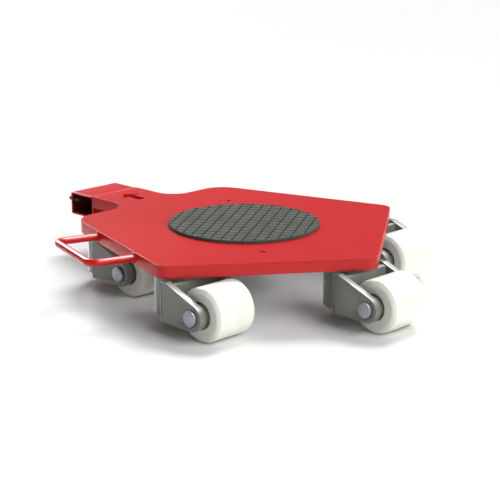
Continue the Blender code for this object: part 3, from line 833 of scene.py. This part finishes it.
class Finish:
    """One material and the methods that add nodes to it."""

    def __init__(self, name, **constants):
        self.material = bpy.data.materials.new(name)
        self.material.use_nodes = True
        self.tree = self.material.node_tree
        self.shader = self.tree.nodes["Principled BSDF"]
        for key, value in constants.items():
            self.shader.inputs[key.replace("_", " ")].default_value = value

    def node(self, kind, settings=None, inputs=None, output=0):
        """Adds a node, applies its settings, then fills its sockets by name or number."""
        made_node = self.tree.nodes.new(kind)
        for key, value in (settings or {}).items():
            setattr(made_node, key, value)
        for key, value in (inputs or {}).items():
            if isinstance(value, Value):
                self.tree.links.new(value.socket, made_node.inputs[key])
            else:
                made_node.inputs[key].default_value = value
        return Value(self, made_node.outputs[output])

    def place(self):
        """Object coordinates in metres, the same for every piece of the object."""
        return self.node("ShaderNodeTexCoord", output="Object")

    def stretched(self, scale, rotation=(0, 0, 0)):
        """Object coordinates scaled unevenly, for patterns that run one way."""
        return self.node("ShaderNodeMapping", None, {"Vector": self.place(), "Scale": scale,
                                                     "Rotation": rotation})

    def lathe(self, across, along):
        """A place made from the stored radius and height, for rings round an axis."""
        return self.node("ShaderNodeCombineXYZ", None, {0: self.attribute("radius") * across,
                                                        1: self.attribute("along") * along})

    def noise(self, scale, vector=None, detail=3.0, roughness=0.5):
        return self.node("ShaderNodeTexNoise", None, {"Vector": vector or self.place(), "Scale": scale,
                                                      "Detail": detail, "Roughness": roughness}, "Fac")

    def blend(self, factor, first, second):
        """Colours mixed by a factor. A colour is a tuple or a link."""
        return self.node("ShaderNodeMix", {"data_type": "RGBA"}, {0: factor, 6: first, 7: second}, 2)

    def ramp(self, factor, low, high):
        """0 below low, 1 above high and straight between them."""
        return self.node("ShaderNodeMapRange", None, {"Value": factor, "From Min": low, "From Max": high})

    def attribute(self, name):
        return self.node("ShaderNodeAttribute", {"attribute_name": name}, output="Fac")

    def bump(self, height, distance, strength):
        return self.node("ShaderNodeBump", None, {"Height": height, "Distance": distance,
                                                  "Strength": strength})

    def wear(self, radius=0.0012):
        """0 on flats and about 1 on edges, from the angle that a rounded normal makes."""
        soft = self.node("ShaderNodeBevel", {"samples": 6}, {"Radius": radius})
        hard = self.node("ShaderNodeNewGeometry", output="Normal")
        return 1 - self.node("ShaderNodeVectorMath", {"operation": "DOT_PRODUCT"},
                             {0: soft, 1: hard}, "Value")

    def feed(self, **links):
        for key, value in links.items():
            self.tree.links.new(value.socket, self.shader.inputs[key.replace("_", " ")])
        return self.material


def srgb(red, green, blue):
    """A colour written as 0-255 screen values, turned into the linear light Blender uses."""
    c = np.array([red, green, blue]) / 255
    c = np.where(c <= 0.04045, c / 12.92, ((c + 0.055) / 1.055) ** 2.4)
    return (float(c[0]), float(c[1]), float(c[2]), 1.0)


print("middle grey is", np.round(srgb(128, 128, 128), 3))

# %% [markdown]
# ## Red enamel
# The steel is sprayed with a glossy red enamel. Spray paint has a faint "orange peel"
# waviness a few millimetres across, a very slight drift in tone and a few specks of
# dust. The inside of the tube is painted dark as painted shade, and made matt. The
# clear top layer of a sprayed coat is thin, so its gloss is let fall towards grazing view.

# %% The red paint
paint = Finish("red_enamel", Metallic=0.0, Specular_IOR_Level=0.08,
               Coat_Roughness=0.02, Coat_IOR=1.38)
broad = paint.noise(5.0, detail=2.0)
fine = paint.noise(60.0, detail=4.0)
peel = paint.noise(230.0, detail=2.0, roughness=0.45)
dust = paint.ramp(paint.noise(900.0, detail=1.0), 0.60, 0.72)
colour = paint.blend(paint.ramp(broad, 0.35, 0.65), srgb(186, 20, 21), srgb(192, 23, 24))
colour = paint.blend(paint.ramp(fine, 0.45, 0.75) * 0.35, colour, srgb(176, 17, 19))
colour = paint.blend(dust * 0.18, colour, srgb(200, 52, 49))
# Painted shade: the inside of the tube is painted a dark maroon and made matt.
inside = paint.attribute("inside")
colour = paint.blend(inside * 0.85, colour, srgb(64, 10, 9))
paint_rough = 0.27 + inside * 0.3 + broad * 0.05 + fine * 0.05 + dust * 0.08
paint_bump = paint.bump(peel + 0.35 * fine, 0.00005, 0.35)
facing = paint.node("ShaderNodeLayerWeight", None, {"Blend": 0.5}, "Facing")
gloss = (1 - 1.25 * facing).clamp()
red = paint.feed(Base_Color=colour, Roughness=paint_rough, Coat_Weight=gloss, Normal=paint_bump)
print("red enamel uses", len(paint.tree.nodes), "nodes")

# %% [markdown]
# ## Pad rubber
# Dark grey moulded rubber is matt, slightly mottled, with fine grit in its skin. The
# grooves look darker because light hardly reaches them and dirt does, so the colour
# falls off with depth below the tiles' top, and much less so on the pad's outer rim.

# %% The rubber
rubber = Finish("pad_rubber", Metallic=0.0, Specular_IOR_Level=0.05)
height = rubber.node("ShaderNodeSeparateXYZ", None, {0: rubber.place()}, "Z")
on_rim = rubber.ramp(rubber.attribute("radius"), rim - 0.9 * MM, rim - 0.5 * MM)
depth = rubber.ramp(pad_top - height, 0.08 * MM, groove * 0.55) * (1 - 0.75 * on_rim)
grit = rubber.noise(1400.0, detail=2.0)
patch = rubber.noise(38.0, detail=3.0)
tone = rubber.blend(rubber.ramp(patch, 0.35, 0.68), srgb(70, 72, 66), srgb(82, 84, 78))
tone = rubber.blend(rubber.ramp(grit, 0.5, 0.75) * 0.4, tone, srgb(96, 98, 91))
tone = rubber.blend(depth, tone, srgb(40, 42, 38))
rubber_rough = 0.62 + patch * 0.12 + depth * 0.15
rubber_mat = rubber.feed(Base_Color=tone, Roughness=rubber_rough,
                         Normal=rubber.bump(grit + 0.5 * patch, 0.00012, 0.5))
print("rubber uses", len(rubber.tree.nodes), "nodes")

# %% [markdown]
# ## Fork steel
# The forks are dark grey enamel over rolled plate: satin, with a soft cloudiness, fine
# scratches, and bare metal just starting to show along the sharpest edges.

# %% The forks' grey finish
steel = Finish("fork_steel", Metallic=0.2, Specular_IOR_Level=0.4, Coat_Weight=0.55,
               Coat_Roughness=0.06, Coat_IOR=1.5)
cloud = steel.noise(14.0, detail=4.0)
grain = steel.noise(420.0, detail=3.0)
scratch = steel.noise(60.0, steel.stretched((1.0, 1.0, 22.0), rotation=(0, 0.5, 0)), detail=2.0)
scratch = steel.ramp(scratch, 0.62, 0.72)
worn = steel.ramp(steel.wear(), 0.03, 0.25) * steel.ramp(cloud, 0.3, 0.7)
fork_colour = steel.blend(steel.ramp(cloud, 0.3, 0.7), srgb(106, 108, 101), srgb(119, 121, 113))
fork_colour = steel.blend(scratch * 0.12, fork_colour, srgb(165, 166, 158))
fork_colour = steel.blend(worn * 0.6, fork_colour, srgb(176, 176, 168))
fork_rough = 0.38 + cloud * 0.10 + grain * 0.06 - worn * 0.08
fork_mat = steel.feed(Base_Color=fork_colour, Roughness=fork_rough,
                      Normal=steel.bump(grain + 0.6 * cloud - 0.3 * scratch, 0.00005, 0.5))
print("fork steel uses", len(steel.tree.nodes), "nodes")

# %% [markdown]
# ## Pin steel
# Axles, kingpins, nuts and screws are bright steel. A lathe leaves rings: on a turned
# face they run round the axis, and along the side they cross it. Both come from the two
# numbers stored with the turned surfaces.

# %% Bright turned steel
pin = Finish("pin_steel", Metallic=0.9)
rings = pin.noise(1.0, pin.lathe(3200.0, 2600.0), 2.0)
stain = pin.noise(90.0, detail=4.0)
pin_colour = pin.blend(pin.ramp(stain, 0.35, 0.75), srgb(170, 168, 178), srgb(150, 148, 158))
pin_colour = pin.blend(pin.ramp(rings, 0.4, 0.7) * 0.25, pin_colour, srgb(140, 140, 152))
pin_mat = pin.feed(Base_Color=pin_colour, Roughness=0.30 + stain * 0.12 + rings * 0.08,
                   Normal=pin.bump(rings, 0.00003, 0.5))
print("pin steel uses", len(pin.tree.nodes), "nodes")

# %% [markdown]
# ## Black oxide
# The clamp screws are blackened rather than plated. The colour is a thin oxide that is
# rubbed back to dark steel along the crests of the thread, which the stored distance
# from the axis would not show on a helix, so the edge test does it.

# %% Blackened screws
oxide = Finish("black_oxide", Metallic=0.7)
mist = oxide.noise(300.0, detail=3.0)
crest = oxide.ramp(oxide.wear(0.0003), 0.02, 0.2)
oxide_colour = oxide.blend(oxide.ramp(mist, 0.35, 0.7), srgb(62, 60, 60), srgb(82, 79, 79))
oxide_colour = oxide.blend(crest * 0.5, oxide_colour, srgb(120, 118, 118))
oxide_mat = oxide.feed(Base_Color=oxide_colour, Roughness=0.42 + mist * 0.15,
                       Normal=oxide.bump(mist, 0.00003, 0.5))
print("black oxide uses", len(oxide.tree.nodes), "nodes")

# %% [markdown]
# ## Bearings
# The spacer is plain ground steel dulled by grease. The small step behind it and the
# bottoms of its grooves carry painted shade: darker, duller and less metallic. The
# stored distance from the axis says which is which, so one finish covers both.

# %% Ground steel with grease, and painted shade in its recesses
race = Finish("bearing_steel")
away = race.attribute("radius")
# Painted shade: 1 on the step behind the spacer, 0.6 on the groove bottoms and inwards of them.
recess_shade = race.ramp(away, 0.0196, 0.0202) + (1 - race.ramp(away, 0.0189, 0.0193)) * 0.6
ground = race.noise(1.0, race.lathe(4200.0, 3000.0), 2.0)
oily = race.noise(120.0, detail=3.0)
ring_colour = race.blend(race.ramp(oily, 0.35, 0.7), srgb(112, 110, 100), srgb(128, 126, 115))
ring_colour = race.blend(race.ramp(ground, 0.4, 0.7) * 0.4, ring_colour, srgb(80, 79, 72))
ring_colour = race.blend(recess_shade * 0.8, ring_colour, srgb(72, 72, 76))
race_mat = race.feed(Base_Color=ring_colour, Metallic=0.35 - recess_shade * 0.3,
                     Roughness=0.36 + recess_shade * 0.25 + oily * 0.1,
                     Normal=race.bump(ground, 0.00002, 0.4))
print("bearing steel uses", len(race.tree.nodes), "nodes")

# %% [markdown]
# ## Nylon
# Cast nylon is a warm off-white. Its running face keeps fine lathe rings, and its skin is
# very slightly mottled. Scuffs gather on the running face and not on the ends. The end
# face inside the shoulder is painted a shade greyer: painted shade on the side that
# faces away from the light.

# %% The rollers' white nylon
nylon = Finish("white_nylon", Metallic=0.0, Specular_IOR_Level=0.5)
away = nylon.attribute("radius")
lathe = nylon.noise(1.0, nylon.lathe(2600.0, 1500.0), 3.0)
mottle = nylon.noise(55.0, detail=4.0)
scuff = nylon.ramp(nylon.noise(170.0, nylon.stretched((1.0, 6.0, 1.0)), 3.0), 0.58, 0.75)
tread = nylon.ramp(away, 0.0400, 0.0424)
white = nylon.blend(nylon.ramp(mottle, 0.3, 0.7), srgb(235, 235, 224), srgb(229, 229, 217))
white = nylon.blend(nylon.ramp(lathe, 0.45, 0.75) * 0.16, white, srgb(206, 206, 196))
# Painted shade: the end face inside the shoulder is greyed; the shoulder and running face stay white.
raised = nylon.ramp(away, 0.0350, 0.0354)
white = nylon.blend(0.55 * (1 - raised), white, srgb(220, 219, 213))
white = nylon.blend(scuff * tread * 0.12, white, srgb(190, 188, 178))
nylon_mat = nylon.feed(Base_Color=white, Roughness=0.30 + mottle * 0.08 + scuff * tread * 0.15,
                       Normal=nylon.bump(lathe + 0.4 * mottle, 0.00004, 0.5))
print("nylon uses", len(nylon.tree.nodes), "nodes")

# %% [markdown]
# ## Dressing the pieces
# Each piece takes the finish of the material slot stored on it, so a scene that
# repaints a slot repaints every piece that uses it. Only the clamp screws differ: they
# share the pins' slot, but they are blackened.

# %% Assign finishes by slot
finishes = {"red_paint": red, "pad_rubber": rubber_mat, "fork_steel": fork_mat,
            "pin_steel": pin_mat, "bearing_steel": race_mat, "nylon": nylon_mat}
for piece in made:
    blackened = piece.name.startswith("set_screw")
    piece.data.materials.append(oxide_mat if blackened else finishes[piece["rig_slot"]])
print(len(made), "pieces dressed in", len(finishes), "finishes")

# %% [markdown]
# ## Studio
# The dolly stands on a wide, pale, faintly glossy floor. Very broad suns act like large
# soft boxes that are equally bright everywhere on the floor: the key comes from the
# right and behind, a second one fills in from the right and a little in front, and the
# sky is a dim neutral grey, so that the left sides fall into shade. Two more lamps light
# only what is glossy and draw the bright lines along the handle's bars. The deck is left
# out of soft bounced light, or its red underside would tint the floor's shadow.

# %% Floor and light
floor_mesh = bpy.data.meshes.new("floor")
floor_mesh.from_pydata([(-30, -30, 0), (30, -30, 0), (30, 30, 0), (-30, 30, 0)], [], [(0, 1, 2, 3)])
floor = bpy.data.objects.new("floor", floor_mesh)
bpy.context.scene.collection.objects.link(floor)
floor_finish = Finish("studio_floor", Base_Color=(0.84, 0.84, 0.845, 1.0), Roughness=0.32,
                      Specular_IOR_Level=0.25)
floor.data.materials.append(floor_finish.material)


def broad_sun(name, toward, height, strength, spread):
    """A sun seen from the dolly at an angle round the vertical and a height, in degrees."""
    lamp = bpy.data.lights.new(name, "SUN")
    lamp.energy, lamp.angle = strength, math.radians(spread)
    sun = bpy.data.objects.new(name, lamp)
    sun.rotation_euler = (math.radians(90 - height), 0, math.radians(toward + 90))
    bpy.context.scene.collection.objects.link(sun)
    return sun


broad_sun("key", 290, 52, 2.9, 26)
broad_sun("fill", 185, 38, 2.6, 50)
broad_sun("strip", 344, 30, 6.5, 30).visible_diffuse = False
broad_sun("glint", 240, 63, 8.0, 26).visible_diffuse = False
bpy.data.objects["deck"].visible_diffuse = False
world = bpy.data.worlds.new("studio")
world.use_nodes = True
sky = world.node_tree.nodes["Background"].inputs
sky["Color"].default_value, sky["Strength"].default_value = (0.97, 0.98, 1.0, 1.0), 0.18
bpy.context.scene.world = world
bpy.context.scene.view_settings.view_transform = "Standard"
print("two broad suns, two lamps for gloss and a dim sky")

# %% [markdown]
# ## Camera
# A long lens, low and to the rear left of the dolly, shows the tongue and the handle on
# the left, two casters in front and a third behind them.

# %% Camera
camera_data = bpy.data.cameras.new("camera")
camera_data.lens, camera_data.sensor_width = 116.884, 36.0
camera_data.clip_end = 100.0
camera = bpy.data.objects.new("camera", camera_data)
camera.location = (-1.83844, 1.84737, 0.77908)
camera.rotation_euler = [math.radians(v) for v in (74.6637, -0.2091, -135.9081)]
bpy.context.scene.collection.objects.link(camera)
bpy.context.scene.camera = camera
print("camera", round(math.dist(camera.location, pad_centre), 3), "m from the pad")
